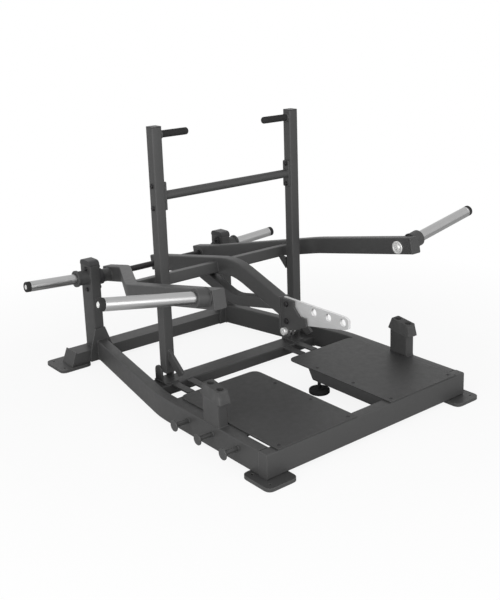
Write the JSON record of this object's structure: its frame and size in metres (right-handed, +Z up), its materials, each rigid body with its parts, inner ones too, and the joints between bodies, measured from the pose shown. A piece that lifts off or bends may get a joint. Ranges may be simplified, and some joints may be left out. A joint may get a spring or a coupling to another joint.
{
  "type": "belt squat machine",
  "caption": "Plate-loaded lever belt squat machine on a floor frame, with standing platforms, rear storage columns, a handle frame and loading sleeves.",
  "frame": {"origin": "on the floor, under the middle of the footprint", "axes": "+X to the right hand of a user who faces the uprights, +Y from the belt plate to the lever's shaft, +Z up"},
  "size_m": [2.0568, 1.729, 1.2383],
  "materials": {
    "frame_paint": "dark charcoal powder coat, fine-grained and almost matt",
    "chrome": "bright hard chrome, lightly scuffed by plates",
    "brushed_steel": "light zinc-grey steel brushed along its length",
    "dark_metal": "blackened steel and iron, slightly glossy",
    "rubber": "matt black rubber",
    "plastic": "black moulded plastic, satin"
  },
  "bodies": {
    "base": {"front_beam": "frame_paint", "side_rail_right": "frame_paint", "side_rail_left": "frame_paint", "mid_crossmember": "frame_paint", "rear_crossmember": "frame_paint", "front_foot_plate_right": "frame_paint", "front_foot_plate_left": "frame_paint", "rear_foot_plate_right": "frame_paint", "rear_foot_plate_left": "frame_paint", "rear_column_right": "frame_paint", "rear_column_left": "frame_paint", "column_cap_right": "plastic", "column_cap_left": "plastic", "joint_plate_right": "frame_paint", "joint_plate_left": "frame_paint", "bearing_right": "dark_metal", "bearing_left": "dark_metal", "upright_right": "frame_paint", "upright_left": "frame_paint", "upright_cap_right": "plastic", "upright_cap_left": "plastic", "upright_base_right": "frame_paint", "upright_base_left": "frame_paint", "crossbar": "frame_paint", "handle_bar_right": "frame_paint", "handle_bar_left": "frame_paint", "handle_grip_right": "rubber", "handle_grip_left": "rubber", "platform_plate_right": "frame_paint", "platform_plate_left": "frame_paint", "platform_support_right": "frame_paint", "platform_support_left": "frame_paint", "bump_post_right": "frame_paint", "bump_post_left": "frame_paint", "bump_cap_right": "rubber", "bump_cap_left": "rubber", "storage_sleeve_right": "chrome", "storage_sleeve_left": "chrome", "storage_end_cap_right": "rubber", "storage_end_cap_left": "rubber"},
    "lever": {"lever_arm_right": "frame_paint", "lever_arm_left": "frame_paint", "boss_washer_right": "chrome", "boss_washer_left": "chrome", "cross_tube_right": "frame_paint", "cross_tube_left": "frame_paint", "lever_spine": "frame_paint", "lever_brace": "frame_paint", "lever_shaft": "dark_metal", "lever_sleeve_right": "chrome", "lever_sleeve_left": "chrome", "lever_end_cap_right": "rubber", "lever_end_cap_left": "rubber", "belt_plate": "brushed_steel", "belt_bolt_1": "dark_metal", "belt_bolt_2": "dark_metal", "tie_pin": "chrome"},
    "levelling_foot_right": {"levelling_foot_right": "rubber"},
    "levelling_foot_left": {"levelling_foot_left": "rubber"}
  },
  "joints": [
    {"name": "lever_swing", "type": "hinge", "parent": "base", "child": "lever", "pos_m": [0, 0.7445, 0.431], "axis": [-1, 0, 0], "range_deg": [-15, 15]},
    {"name": "levelling_right", "type": "slide", "parent": "base", "child": "levelling_foot_right", "axis": [0, 0, 1], "range_m": [-0.008, 0.012]},
    {"name": "levelling_left", "type": "slide", "parent": "base", "child": "levelling_foot_left", "axis": [0, 0, 1], "range_m": [-0.008, 0.012]}
  ]
}
